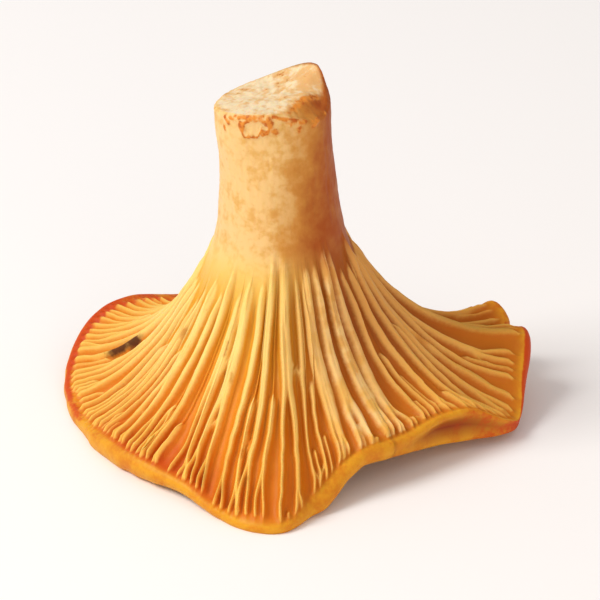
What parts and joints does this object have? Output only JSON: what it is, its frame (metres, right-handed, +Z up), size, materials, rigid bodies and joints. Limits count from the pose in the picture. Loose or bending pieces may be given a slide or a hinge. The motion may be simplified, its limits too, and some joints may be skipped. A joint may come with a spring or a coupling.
{
  "type": "chanterelle mushroom",
  "caption": "Fresh chanterelle resting on its wavy, funnel-shaped cap with the cut stem up; forked gill ridges run from the stem down to a blunt rim.",
  "frame": {"origin": "on the surface the mushroom rests on, under the middle of its bounding box", "axes": "+Z up, along the stem from the cap towards the cut end; +Y away from the viewer of its front, where the rim comes down to a point; +X to the right, towards the lobed side of the rim"},
  "size_m": [0.0642, 0.064, 0.051],
  "materials": {
    "flesh": null
  },
  "bodies": {
    "root": {"chanterelle": "flesh"}
  },
  "joints": []
}
